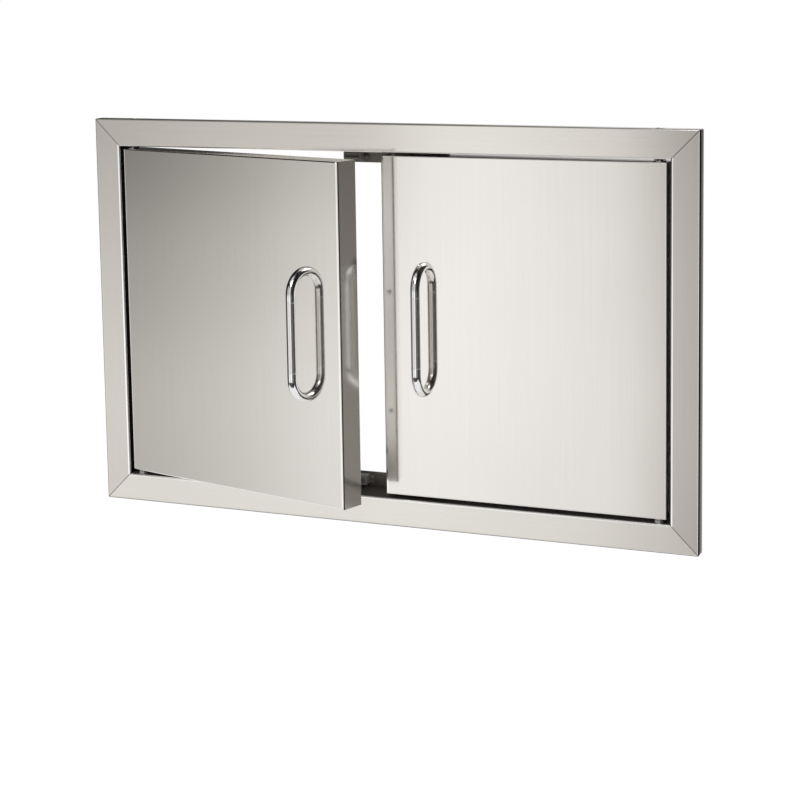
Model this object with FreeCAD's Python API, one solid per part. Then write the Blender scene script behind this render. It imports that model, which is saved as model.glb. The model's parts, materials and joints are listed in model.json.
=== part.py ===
import FreeCAD, Part
import math
import os

# Double access door for a barbecue island, in millimetres.
# X runs to the viewer's right, Y runs back into the island and Z runs up.
# The origin is the centre of the opening, on the plane of the island's wall.
# The right door stands closed and the left door stands ajar, turned about its own pivot line.

# Face frame: four folded rails, mitred at the corners
frame_width = 830.0
frame_height = 520.0
frame_sheet = 1.2
flange_width = 36.5
flange_stand = 16.5
lip_width = 12.0
throat_depth = 53.5
fold_radius = 0.7
mitre_gap = 0.2
frame_corner_radius = 2.5

# Gaps round the doors
side_gap = 4.7
top_gap = 3.7
bottom_gap = 5.2
centre_gap = 2.6
door_recess = 1.2

# Doors: a folded pan closed by a dished liner
door_depth = 36.5
door_sheet = 1.0
door_fold_radius = 0.6
pan_lip = 14.0
lip_slit = 0.3
liner_sheet = 0.8
liner_inset = 2.0
dish_border = 34.0
dish_depth = 4.0
dish_slope = 5.0
dish_corner = 12.0
left_door_ajar_deg = 15.0

# Pivot line of each door, measured from the door's hinge edge and from its front face
pivot_inset = 11.0
pivot_setback = 9.0
pin_radius = 3.5
running_gap = 0.08
bush_wall = 2.0
bush_flange = 2.0
upper_bush_flange_height = 1.0
guide_bush_flange_height = 1.2
lower_bush_flange_height = 1.5
lower_bush_sleeve = 6.0
stud_head_radius = 7.0
stud_head_height = 3.0
stud_reach = 10.0
frame_bush_rise = 2.5
pin_engagement = 8.0
pin_travel = 9.5
spacer_play = 0.3

# Guide bracket and sprung pin inside each door
guide_sheet = 2.0
guide_height = 54.0
guide_reach = 20.0
guide_breadth = 14.0
guide_bush_sleeve = 5.0
collar_radius = 6.4
collar_height = 3.0
collar_play = 0.3
spring_wire = 1.1
spring_turns = 7
spring_chords = 12
spring_wire_sides = 6
spring_clearance = 0.6
spring_seat = 0.3
pin_tail = 6.0
pin_bend_radius = 8.0
lever_reach = 12.0
sleeve_wall = 1.2
sleeve_length = 14.0
window_margin = 3.0
window_reach = 16.0
plate_sheet = 2.0
plate_length = 40.0
plate_breadth = 24.0

# Bow handle: a satin tube between two polished elbows
handle_radius = 6.0
handle_wall = 1.2
handle_pitch = 160.0
handle_standoff = 28.0
handle_z = 0.0
elbow_bend_radius = 27.0
elbow_straight = 8.3
spigot_length = 8.0
spigot_play = 0.05
handle_edge_distance = 56.2
handle_screw_radius = 2.4
handle_screw_bite = 9.0
handle_head_radius = 4.5
handle_head_height = 3.0
backing_width = 20.0
backing_overhang = 15.0
backing_sheet = 1.5

# Catch brackets, magnetic catches and strikes
bracket_width = 148.0
bracket_rise = 18.5
bracket_foot = 17.0
bracket_fold_radius = 0.3
bracket_seat = 0.1
bracket_rivet_offset = 60.0
catch_offset = 56.0
catch_width = 24.0
catch_height = 13.0
catch_ear = 5.5
catch_ear_sheet = 2.0
pole_length = 19.0
pole_sheet = 1.2
pole_proud = 1.0
magnet_height = 4.0
magnet_depth = 8.0
magnet_play = 0.1
strike_length = 34.0
strike_height = 11.0
strike_sheet = 1.5
strike_inset = 2.5
catch_air_gap = 0.3

# Small fasteners
seat_gap = 0.05
rivet_radius = 1.6
rivet_head_radius = 3.0
rivet_head_height = 0.9
screw_radius = 1.4
screw_head_radius = 2.8
screw_head_height = 1.4
screw_end = 1.5
hole_play = 0.05
fastener_sides = 10
liner_screw_corner = 20.0
liner_screw_levels = (0.22, 0.58)

# Fixing holes in the throat, and corner gussets behind the flange
fixing_radius = 2.5
fixing_depth = 18.0
fixing_spacing_x = 500.0
fixing_spacing_z = 300.0
gusset_sheet = 1.5
gusset_leg = 62.0
gusset_weld_radius = 3.0

# Sizes that follow from the ones above
front = -flange_stand
rear = front + throat_depth
opening_width = frame_width - 2 * flange_width
opening_height = frame_height - 2 * flange_width
half_opening = opening_height / 2
door_width = (opening_width - 2 * side_gap - centre_gap) / 2
door_left = -opening_width / 2 + side_gap
door_right = door_left + door_width
door_bottom = -half_opening + bottom_gap
door_top = half_opening - top_gap
door_front = front + door_recess
door_back = door_front + door_depth
pan_back = door_back - liner_sheet
pan_bend = door_fold_radius + door_sheet
pivot_x = door_left + pivot_inset
pivot_y = door_front + pivot_setback
bush_radius = pin_radius + running_gap + bush_wall
flange_radius = bush_radius + bush_flange
handle_x = door_right - handle_edge_distance

X = FreeCAD.Vector(1, 0, 0)
Y = FreeCAD.Vector(0, 1, 0)
Z = FreeCAD.Vector(0, 0, 1)
ORIGIN = FreeCAD.Vector(0, 0, 0)


def point(x, y, z):
    return FreeCAD.Vector(x, y, z)


def box(x0, x1, y0, y1, z0, z1):
    return Part.makeBox(x1 - x0, y1 - y0, z1 - z0, point(x0, y0, z0))


def rod(radius, start, axis, length):
    return Part.makeCylinder(radius, length, start, axis)


def ring(outer, inner, start, axis, length):
    return rod(outer, start, axis, length).cut(rod(inner, start, axis, length))


def group(solids):
    """Separate solids that share one node."""
    return Part.makeCompound(solids)


def flipped(shape, axis):
    """The mirror image of a shape across the plane through the origin that is square to the axis."""
    return shape.mirror(ORIGIN, axis)


def folded_section(corners, sheet, inside_radius, place):
    """Closed outline of a bent sheet as a face. The corners lie on the outer side; every fold turns left."""
    outer_radius = inside_radius + sheet
    steps = [corners[i + 1].sub(corners[i]).normalize() for i in range(len(corners) - 1)]
    lefts = [point(-d.y, d.x, 0) for d in steps]
    outer = [corners[0]]
    inner = [corners[0] + lefts[0] * sheet]
    for i in range(1, len(corners) - 1):
        centre = corners[i] - steps[i - 1] * outer_radius + lefts[i - 1] * outer_radius
        bisector = (lefts[i - 1] + lefts[i]).normalize()
        for side, radius in ((outer, outer_radius), (inner, inside_radius)):
            side.append(centre - lefts[i - 1] * radius)
            side.append(centre - bisector * radius)
            side.append(centre - lefts[i] * radius)
    outer.append(corners[-1])
    inner.append(corners[-1] + lefts[-1] * sheet)
    outline = []
    for side in (outer, inner):
        at = [place(p.x, p.y) for p in side]
        outline.append(Part.LineSegment(at[0], at[1]).toShape())
        for k in range(1, len(at) - 2, 3):
            outline.append(Part.Arc(at[k], at[k + 1], at[k + 2]).toShape())
            outline.append(Part.LineSegment(at[k + 2], at[k + 3]).toShape())
    outline.append(Part.LineSegment(place(outer[0].x, outer[0].y), place(inner[0].x, inner[0].y)).toShape())
    outline.append(Part.LineSegment(place(outer[-1].x, outer[-1].y), place(inner[-1].x, inner[-1].y)).toShape())
    return Part.Face(Part.Wire(Part.sortEdges(outline)[0]))


def rounded_frame(x0, x1, z0, z1, radius, y):
    """Wire of a rectangle with round corners, in the plane at depth y."""
    k = radius * (1 - math.sqrt(0.5))
    r = radius
    arcs = (
        (point(x1 - r, y, z0), point(x1 - k, y, z0 + k), point(x1, y, z0 + r)),
        (point(x1, y, z1 - r), point(x1 - k, y, z1 - k), point(x1 - r, y, z1)),
        (point(x0 + r, y, z1), point(x0 + k, y, z1 - k), point(x0, y, z1 - r)),
        (point(x0, y, z0 + r), point(x0 + k, y, z0 + k), point(x0 + r, y, z0)),
    )
    edges = []
    for i, arc in enumerate(arcs):
        edges.append(Part.Arc(*arc).toShape())
        edges.append(Part.LineSegment(arc[2], arcs[(i + 1) % 4][0]).toShape())
    return Part.Wire(edges)


def prism(radius, start, axis, length):
    """A bar with flat sides, for the shanks and heads of small fasteners."""
    side = X if abs(axis.x) < 0.5 else Y
    up = axis.cross(side)
    corners = []
    for i in range(fastener_sides + 1):
        angle = 2 * math.pi * i / fastener_sides
        corners.append(start + side * (radius * math.cos(angle)) + up * (radius * math.sin(angle)))
    return Part.Face(Part.makePolygon(corners)).extrude(axis * length)


def headed(start, axis, head_radius, head_height, shank_radius, shank_length):
    """A screw or rivet. Its head stands on the start point and its shank runs along the axis."""
    head = prism(head_radius, start - axis * head_height, axis, head_height)
    return head.fuse(prism(shank_radius, start, axis, shank_length))


# Face frame

def rail_section(reach):
    """Section of a rail with its outer edge at Z = -reach: back lip, outer return, flange and throat wall."""
    corners = [
        point(lip_width, flange_stand, 0),
        point(0, flange_stand, 0),
        point(0, 0, 0),
        point(flange_width, 0, 0),
        point(flange_width, throat_depth, 0),
    ]
    # seen with Z to the right and Y upwards
    return folded_section(corners, frame_sheet, fold_radius, lambda u, v: point(0, front + v, u - reach))


def frame_rail(half_span, reach):
    """A rail that runs along X below the opening, cut to its mitres."""
    section = rail_section(reach)
    section.translate(X * -half_span)
    rail = section.extrude(X * (2 * half_span))
    trim = mitre_gap / math.sqrt(2)
    outline = Part.makePolygon([
        point(-half_span + trim, front - 1, -reach),
        point(half_span - trim, front - 1, -reach),
        point(half_span - trim - flange_width, front - 1, flange_width - reach),
        point(-half_span + trim + flange_width, front - 1, flange_width - reach),
        point(-half_span + trim, front - 1, -reach),
    ])
    return rail.common(Part.Face(outline).extrude(Y * (throat_depth + 2)))


def fixing_holes(reach, spacing):
    """The two screw holes in the throat wall of a rail below the opening."""
    depth = fixing_depth
    return [
        rod(fixing_radius, point(side * spacing / 2, depth, -reach), Z, flange_width + 1)
        for side in (-1, 1)
    ]


def bracket_rivet_holes(reach):
    return [
        rod(rivet_radius + hole_play, point(x, bracket_rivet_y(), -reach), Z, flange_width + 1)
        for x in bracket_rivet_xs()
    ]


def pivot_holes(reach, radius):
    return [
        rod(radius, point(side * pivot_x, pivot_y, -reach), Z, flange_width + 1)
        for side in (-1, 1)
    ]


def bracket_rivet_y():
    return rear - bracket_foot / 2


def bracket_rivet_xs():
    return (-bracket_rivet_offset, 0.0, bracket_rivet_offset)


def frame_pieces():
    blank = box(-frame_width / 2, frame_width / 2, front - 1, rear + 1, -frame_height / 2, frame_height / 2)
    posts = [e for e in blank.Edges if abs(e.tangentAt(e.FirstParameter).y) > 0.9]
    blank = blank.makeFillet(frame_corner_radius, posts)
    across = frame_rail(frame_width / 2, frame_height / 2)
    for hole in fixing_holes(frame_height / 2, fixing_spacing_x) + bracket_rivet_holes(frame_height / 2):
        across = across.cut(hole)
    bottom, top = across.copy(), flipped(across, Z)
    for hole in pivot_holes(frame_height / 2, pin_radius + hole_play):
        bottom = bottom.cut(hole)
    for hole in pivot_holes(frame_height / 2, bush_radius + hole_play):
        top = top.cut(flipped(hole, Z))
    stile = frame_rail(frame_height / 2, frame_width / 2)
    for hole in fixing_holes(frame_width / 2, fixing_spacing_z):
        stile = stile.cut(hole)
    left = stile.copy()
    left.rotate(ORIGIN, Y, 90)
    right = flipped(left, X)
    pieces = {
        "frame_top_rail": top,
        "frame_bottom_rail": bottom,
        "frame_left_stile": left,
        "frame_right_stile": right,
    }
    return {name: shape.common(blank) for name, shape in pieces.items()}


def corner_gussets():
    """Flat angles that join the rails behind the mitres, each with two plug weld holes."""
    edge = frame_sheet + fold_radius + seat_gap
    broad = flange_width - 2 * edge
    x, z = frame_width / 2 - edge, frame_height / 2 - edge
    y0 = front + frame_sheet + seat_gap
    corner = Part.makePolygon([
        point(-x, y0, -z),
        point(-x + gusset_leg, y0, -z),
        point(-x + gusset_leg, y0, -z + broad),
        point(-x + broad, y0, -z + broad),
        point(-x + broad, y0, -z + gusset_leg),
        point(-x, y0, -z + gusset_leg),
        point(-x, y0, -z),
    ])
    plate = Part.Face(corner).extrude(Y * gusset_sheet)
    along = (broad + gusset_leg) / 2
    for spot in (point(-x + along, y0, -z + broad / 2), point(-x + broad / 2, y0, -z + along)):
        plate = plate.cut(rod(gusset_weld_radius, spot, Y, gusset_sheet))
    lower = [plate, flipped(plate, X)]
    return group(lower + [flipped(p, Z) for p in lower])


# Catches

def catch_bracket():
    """The bottom bracket: a foot under the throat wall and an upright behind its rear edge."""
    sheet = frame_sheet
    under = -half_opening - sheet - bracket_seat
    back = rear + bracket_seat + sheet
    corners = [
        point(rear - bracket_foot, under - sheet, 0),
        point(back, under - sheet, 0),
        point(back, -half_opening + bracket_rise, 0),
    ]
    section = folded_section(corners, sheet, bracket_fold_radius, lambda u, v: point(-bracket_width / 2, u, v))
    bracket = section.extrude(X * bracket_width)
    for x in bracket_rivet_xs():
        below = point(x, bracket_rivet_y(), under - 2 * sheet)
        bracket = bracket.cut(rod(rivet_radius + hole_play, below, Z, 4 * sheet))
    for x in catch_screw_xs():
        bracket = bracket.cut(rod(screw_radius + hole_play, point(x, rear, catch_z()), Y, 4 * sheet))
    return bracket


def catch_z():
    """Height of the lower catches' centre line."""
    return -half_opening + bracket_rise / 2


def catch_screw_xs():
    half = (catch_width + catch_ear) / 2
    return [side * catch_offset + step for side in (-1, 1) for step in (-half, half)]


def bracket_rivets():
    head = point(0, bracket_rivet_y(), -half_opening)
    grip = 2 * frame_sheet + bracket_seat + rivet_radius
    lower = []
    for x in bracket_rivet_xs():
        rivet = headed(head + X * x, -Z, rivet_head_radius, rivet_head_height, rivet_radius, grip)
        lower.append(rivet)
    return lower + [flipped(r, Z) for r in lower]


def catch_faces():
    """Depths of a catch's back, of its case front and of its pole tips."""
    tips = door_back + strike_sheet + catch_air_gap
    return rear + bracket_seat, tips + pole_proud, tips


def catch_case(x):
    """A moulded case with a pocket for the magnet and an ear at each end, low on the frame at x."""
    back, face, _ = catch_faces()
    z = catch_z()
    half = catch_width / 2
    case = box(x - half, x + half, face, back, z - catch_height / 2, z + catch_height / 2)
    soft = [e for e in case.Edges if abs(e.tangentAt(e.FirstParameter).y) > 0.9]
    case = case.makeFillet(1.5, soft)
    ears = box(x - half - catch_ear, x + half + catch_ear, back - catch_ear_sheet, back,
               z - catch_height / 2 + 1.5, z + catch_height / 2 - 1.5)
    soft = [e for e in ears.Edges if abs(e.tangentAt(e.FirstParameter).y) > 0.9]
    case = case.fuse(ears.makeFillet(2.0, soft)).removeSplitter()
    stack = magnet_height / 2 + pole_sheet + 2 * magnet_play
    reach = pole_length / 2 + magnet_play
    pocket = box(x - reach, x + reach, face - 1, face + magnet_depth + pole_proud, z - stack, z + stack)
    case = case.cut(pocket)
    for side in (-1, 1):
        spot = point(x + side * (half + catch_ear / 2), back - catch_ear_sheet, z)
        case = case.cut(rod(screw_radius + hole_play, spot, Y, catch_ear_sheet))
    return case


def magnet_block(x):
    _, face, _ = catch_faces()
    half = pole_length / 2
    z = catch_z()
    return box(x - half, x + half, face + pole_proud, face + pole_proud + magnet_depth - magnet_play,
               z - magnet_height / 2, z + magnet_height / 2)


def pole_plates(x):
    """The two steel plates that lead the magnet's pull to the strike."""
    _, face, tips = catch_faces()
    half = pole_length / 2
    plates = []
    for side in (-1, 1):
        near = magnet_height / 2 + seat_gap
        z = sorted((catch_z() + side * near, catch_z() + side * (near + pole_sheet)))
        plates.append(box(x - half, x + half, tips, face + magnet_depth, z[0], z[1]))
    return plates


def catch_screws():
    back, _, _ = catch_faces()
    grip = catch_ear_sheet + frame_sheet + screw_end
    lower = [
        headed(point(x, back - catch_ear_sheet, catch_z()), Y, screw_head_radius - 0.3, screw_head_height,
                 screw_radius, grip)
        for x in catch_screw_xs()
    ]
    return lower + [flipped(s, Z) for s in lower]


def catch_pieces():
    lower_left = catch_case(-catch_offset)
    cases = {
        "lower_left_catch_case": lower_left,
        "lower_right_catch_case": flipped(lower_left, X),
        "upper_left_catch_case": flipped(lower_left, Z),
        "upper_right_catch_case": flipped(flipped(lower_left, X), Z),
    }
    magnets, poles = [], []
    for x in (-catch_offset, catch_offset):
        magnets.append(magnet_block(x))
        poles.extend(pole_plates(x))
    bottom = catch_bracket()
    return {
        "bottom_catch_bracket": bottom,
        "top_catch_bracket": flipped(bottom, Z),
        "catch_bracket_rivets": group(bracket_rivets()),
        **cases,
        "catch_magnets": group(magnets + [flipped(m, Z) for m in magnets]),
        "catch_pole_plates": group(poles + [flipped(p, Z) for p in poles]),
        "catch_screws": group(catch_screws()),
    }


# Pivots that stay with the frame

def lower_pivot_stud():
    """A headed stud: its head lies under the throat wall and its shank stands up into the door."""
    under = -half_opening - frame_sheet
    head_base = under - seat_gap - stud_head_height
    head = rod(stud_head_radius, point(pivot_x, pivot_y, head_base), Z, stud_head_height)
    length = door_bottom + stud_reach - under + seat_gap
    shank = rod(pin_radius, point(pivot_x, pivot_y, under - seat_gap), Z, length)
    top = [e for e in shank.Edges if e.Closed and e.CenterOfMass.z > door_bottom]
    return head.fuse(shank.makeChamfer(1.0, top))


def pivot_spacer():
    """The ring on the sill that carries the door's weight."""
    height = bottom_gap - lower_bush_flange_height - spacer_play
    sill = point(pivot_x, pivot_y, -half_opening)
    return ring(flange_radius + 0.5, pin_radius + running_gap, sill, Z, height)


def flanged_bush(start, axis, flange_height, sleeve):
    """A bush whose flange starts at the point and whose sleeve follows it along the axis."""
    flange = rod(flange_radius, start, axis, flange_height)
    body = flange.fuse(rod(bush_radius, start, axis, flange_height + sleeve))
    return body.cut(rod(pin_radius + running_gap, start, axis, flange_height + sleeve))


def frame_bush():
    start = point(pivot_x, pivot_y, half_opening - upper_bush_flange_height)
    return flanged_bush(start, Z, upper_bush_flange_height, frame_sheet + frame_bush_rise)


# One door, built closed and hung on the left

def folds(block):
    """The edges of a block where the pan is bent. The four along Y are ground seams and stay sharp."""
    return [e for e in block.Edges if abs(e.tangentAt(e.FirstParameter).y) < 0.1]


def pan_shell():
    """The outer skin: front, four returns and four back lips, folded from one sheet."""
    outer = box(door_left, door_right, door_front, pan_back, door_bottom, door_top)
    outer = outer.makeFillet(pan_bend, folds(outer))
    t = door_sheet
    inner = box(door_left + t, door_right - t, door_front + t, pan_back - t, door_bottom + t, door_top - t)
    inner = inner.makeFillet(door_fold_radius, folds(inner))
    window = box(door_left + pan_lip, door_right - pan_lip, pan_back - 2 * t, pan_back + t,
                 door_bottom + pan_lip, door_top - pan_lip)
    return outer.cut(inner).cut(window)


def lip_slits():
    """The mitre slits between neighbouring back lips."""
    slits = []
    length = (pan_lip - pan_bend) * math.sqrt(2)
    for x, z, angle in (
        (door_left, door_bottom, -45),
        (door_right, door_bottom, -135),
        (door_right, door_top, 135),
        (door_left, door_top, 45),
    ):
        slit = box(pan_bend * math.sqrt(2), length + pan_bend * math.sqrt(2) + 1, pan_back - 2 * door_sheet,
                   pan_back + 1, -lip_slit / 2, lip_slit / 2)
        slit.rotate(ORIGIN, Y, angle)
        slit.translate(point(x, 0, z))
        slits.append(slit)
    return slits


def guide_levels():
    """Heights of the guide bracket's top, of its lower ear's top face and of the lever's centre line."""
    bracket_top = door_top - door_sheet - seat_gap
    ear_top = bracket_top - guide_height + guide_sheet
    lever = ear_top - guide_sheet - pin_tail - pin_bend_radius
    return bracket_top, ear_top, lever


def service_window():
    """The cut-out in the liner and lip that shows the guide and lets the lever through."""
    bracket_top, _, lever = guide_levels()
    low = lever - pin_travel - pin_radius - sleeve_wall - window_margin
    high = bracket_top - guide_sheet - window_margin
    cut = box(door_left + pivot_inset - pin_radius - window_margin, door_left + pivot_inset + window_reach,
              pan_back - 2 * door_sheet - dish_depth, door_back + 1, low, high)
    corners = [e for e in cut.Edges if abs(e.tangentAt(e.FirstParameter).y) > 0.9]
    return cut.makeFillet(3.0, corners)


def liner_screw_spots():
    """Places of the screws round the liner, on the middle of the pan's lips."""
    mid = pan_lip / 2 + liner_inset / 2
    spots = []
    middle = (door_left + door_right) / 2
    for z in (door_bottom + mid, door_top - mid):
        for x in (door_left + liner_screw_corner, middle, door_right - liner_screw_corner):
            spots.append(point(x, door_back, z))
    for part in liner_screw_levels:
        z = door_bottom + part * (door_top - door_bottom)
        spots.extend((point(door_left + mid, door_back, z), point(door_right - mid, door_back, z)))
    return spots


def screw_holes(shape, spots, radius, length):
    for spot in spots:
        shape = shape.cut(rod(radius, spot - Y * length, Y, 2 * length))
    return shape


def strike_spots():
    """Centres of the lower and upper strikes, on the liner's back."""
    low = door_bottom + strike_inset + strike_height / 2
    high = door_top - strike_inset - strike_height / 2
    return [point(-catch_offset, door_back, z) for z in (low, high)]


def strike_rivet_spots():
    step = strike_length / 2 - 2 * rivet_radius
    return [spot + X * side * step for spot in strike_spots() for side in (-1, 1)]


def handle_feet():
    return [point(handle_x, door_front, handle_z + side * handle_pitch / 2) for side in (-1, 1)]


def door_pan():
    pan = pan_shell()
    for slit in lip_slits():
        pan = pan.cut(slit)
    pan = pan.cut(service_window())
    pan = screw_holes(pan, liner_screw_spots(), screw_radius + hole_play, 4)
    pan = screw_holes(pan, strike_rivet_spots(), rivet_radius + hole_play, 4)
    for foot in handle_feet():
        pan = pan.cut(rod(handle_screw_radius + hole_play, foot - Y, Y, door_sheet + 2))
    for z in (door_bottom - 1, door_top - door_sheet - 1):
        pan = pan.cut(rod(bush_radius + hole_play, point(pivot_x, pivot_y, z), Z, door_sheet + 2))
    return pan


def door_liner():
    """The inner panel: a flat border round a field pressed towards the front, drawn with a sloped wall."""
    x0, x1 = door_left + liner_inset, door_right - liner_inset
    z0, z1 = door_bottom + liner_inset, door_top - liner_inset
    plate = Part.Face(rounded_frame(x0, x1, z0, z1, pan_bend, pan_back)).extrude(Y * liner_sheet)

    def dish(grow, near, far):
        mouth = dish_border - grow
        floor = dish_border + dish_slope - grow
        return Part.makeLoft([
            rounded_frame(x0 + mouth, x1 - mouth, z0 + mouth, z1 - mouth, dish_corner + grow, near),
            rounded_frame(x0 + floor, x1 - floor, z0 + floor, z1 - floor, dish_corner + grow, far),
        ], True, True)

    pressed = dish(liner_sheet, pan_back + seat_gap, pan_back - dish_depth)
    hollow = dish(0.0, door_back, door_back - dish_depth)
    liner = plate.fuse(pressed).cut(hollow)
    liner = liner.cut(service_window())
    liner = screw_holes(liner, liner_screw_spots(), screw_radius + hole_play, 4)
    return screw_holes(liner, strike_rivet_spots(), rivet_radius + hole_play, 4)


def liner_screws():
    grip = liner_sheet + door_sheet + screw_end
    return group([
        headed(spot, -Y, screw_head_radius, screw_head_height, screw_radius, grip)
        for spot in liner_screw_spots()
    ])


def strike(spot):
    plate = box(spot.x - strike_length / 2, spot.x + strike_length / 2, door_back, door_back + strike_sheet,
                spot.z - strike_height / 2, spot.z + strike_height / 2)
    corners = [e for e in plate.Edges if abs(e.tangentAt(e.FirstParameter).y) > 0.9]
    plate = plate.makeFillet(2.0, corners)
    for rivet in strike_rivet_spots():
        near = point(rivet.x, door_back - 1, rivet.z)
        plate = plate.cut(rod(rivet_head_radius + hole_play, near, Y, strike_sheet + 2))
    return plate


def strike_rivets():
    """Rivets with flat heads as thick as the strikes, so that the catches close on flat steel."""
    grip = liner_sheet + door_sheet + rivet_radius
    return group([
        headed(spot, -Y, rivet_head_radius, strike_sheet, rivet_radius, grip)
        for spot in strike_rivet_spots()
    ])


def handle_tube():
    half = handle_pitch / 2 - elbow_bend_radius - elbow_straight
    start = point(handle_x, door_front - handle_standoff, handle_z - half)
    return ring(handle_radius, handle_radius - handle_wall, start, Z, 2 * half)


def handle_elbow():
    """The lower elbow: foot, quarter bend, straight neck, and a spigot that enters the tube."""
    y_bar = door_front - handle_standoff
    z_foot = handle_z - handle_pitch / 2
    r = elbow_bend_radius
    foot = handle_standoff - r
    disc = Part.Face(Part.Wire(Part.makeCircle(handle_radius, point(handle_x, door_front - foot, z_foot), Y)))
    bend = disc.revolve(point(handle_x, door_front - foot, z_foot + r), -X, 90)
    elbow = rod(handle_radius, point(handle_x, door_front - foot, z_foot), Y, foot - seat_gap).fuse(bend)
    elbow = elbow.fuse(rod(handle_radius, point(handle_x, y_bar, z_foot + r), Z, elbow_straight - seat_gap))
    spigot = handle_radius - handle_wall - spigot_play
    elbow = elbow.fuse(rod(spigot, point(handle_x, y_bar, z_foot + r), Z, elbow_straight + spigot_length))
    bore = rod(handle_screw_radius + hole_play, point(handle_x, door_front - handle_screw_bite - 1, z_foot), Y,
               handle_screw_bite + 2)
    return elbow.cut(bore)


def mirrored_in_height(shape):
    """The same piece at the other end of the handle."""
    return shape.mirror(point(0, 0, handle_z), Z)


def handle_backing():
    """A strip behind the skin that spreads the pull of the handle screws."""
    y0 = door_front + door_sheet + seat_gap
    half = handle_pitch / 2 + backing_overhang
    strip = box(handle_x - backing_width / 2, handle_x + backing_width / 2, y0, y0 + backing_sheet,
                handle_z - half, handle_z + half)
    ends = [e for e in strip.Edges if abs(e.tangentAt(e.FirstParameter).y) > 0.9]
    strip = strip.makeFillet(4.0, ends)
    for foot in handle_feet():
        strip = strip.cut(rod(handle_screw_radius + hole_play, foot, Y, 3 * backing_sheet))
    return strip


def handle_screws():
    y_head = door_front + door_sheet + backing_sheet + 2 * seat_gap
    grip = y_head - door_front + handle_screw_bite
    return group([
        headed(point(foot.x, y_head, foot.z), -Y, handle_head_radius, handle_head_height,
               handle_screw_radius, grip)
        for foot in handle_feet()
    ])


def guide_bracket():
    """A folded bracket on the hinge side return. Its two ears guide the sprung pin."""
    top, _, _ = guide_levels()
    x0 = door_left + door_sheet + seat_gap
    corners = [
        point(x0 + guide_reach, top, 0),
        point(x0, top, 0),
        point(x0, top - guide_height, 0),
        point(x0 + guide_reach, top - guide_height, 0),
    ]
    near = pivot_y - guide_breadth / 2
    section = folded_section(corners, guide_sheet, door_fold_radius, lambda u, v: point(u, near, v))
    bracket = section.extrude(Y * guide_breadth)
    upper = rod(bush_radius + hole_play, point(pivot_x, pivot_y, top - guide_sheet - 1), Z, guide_sheet + 2)
    lower = rod(pin_radius + running_gap, point(pivot_x, pivot_y, top - guide_height - 1), Z, guide_sheet + 2)
    return bracket.cut(upper).cut(lower)


def guide_bush():
    start = point(pivot_x, pivot_y, door_top + guide_bush_flange_height)
    return flanged_bush(start, -Z, guide_bush_flange_height, guide_bush_sleeve)


def door_lower_bush():
    start = point(pivot_x, pivot_y, door_bottom - lower_bush_flange_height)
    return flanged_bush(start, Z, lower_bush_flange_height, lower_bush_sleeve)


def lower_pivot_plate():
    """A doubler on the pan's floor that takes the door's weight at the lower bush."""
    z0 = door_bottom + door_sheet + seat_gap
    edge = door_sheet + door_fold_radius + seat_gap
    plate = box(door_left + edge, door_left + edge + plate_length, door_front + edge,
                door_front + edge + plate_breadth, z0, z0 + plate_sheet)
    corners = [e for e in plate.Edges if abs(e.tangentAt(e.FirstParameter).z) > 0.9]
    plate = plate.makeFillet(3.0, corners)
    return plate.cut(rod(bush_radius + hole_play, point(pivot_x, pivot_y, z0), Z, plate_sheet))


# The sprung pin of each door

def collar_level():
    """Height of the collar's top, just under the guide bush."""
    return door_top - guide_bush_sleeve - collar_play


def sprung_pin():
    """An L shaped pin: a straight shank, a quarter bend and a lever that points out of the door's back."""
    _, _, lever = guide_levels()
    r = pin_bend_radius
    top = half_opening + pin_engagement
    bend_top = lever + r
    shank = rod(pin_radius, point(pivot_x, pivot_y, bend_top), Z, top - bend_top)
    tip = [e for e in shank.Edges if e.Closed and e.CenterOfMass.z > door_top]
    shank = shank.makeChamfer(1.2, tip)
    disc = Part.Face(Part.Wire(Part.makeCircle(pin_radius, point(pivot_x, pivot_y, bend_top), Z)))
    bend = disc.revolve(point(pivot_x, pivot_y + r, bend_top), X, 90)
    run = door_back + lever_reach - pivot_y - r
    lever_rod = rod(pin_radius, point(pivot_x, pivot_y + r, lever), Y, run)
    return shank.fuse(bend).fuse(lever_rod)


def lever_sleeve():
    """A dipped grip on the lever's end, closed over its tip."""
    _, _, lever = guide_levels()
    tip = door_back + lever_reach + seat_gap
    start = point(pivot_x, tip - sleeve_length, lever)
    shell = rod(pin_radius + sleeve_wall, start, Y, sleeve_length + sleeve_wall)
    end = [e for e in shell.Edges if e.Closed and e.CenterOfMass.y > tip]
    shell = shell.makeChamfer(sleeve_wall / 2, end)
    return shell.cut(rod(pin_radius + 0.02, start, Y, sleeve_length))


def pin_collar():
    start = point(pivot_x, pivot_y, collar_level() - collar_height)
    return ring(collar_radius, pin_radius + 0.02, start, Z, collar_height)


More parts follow.
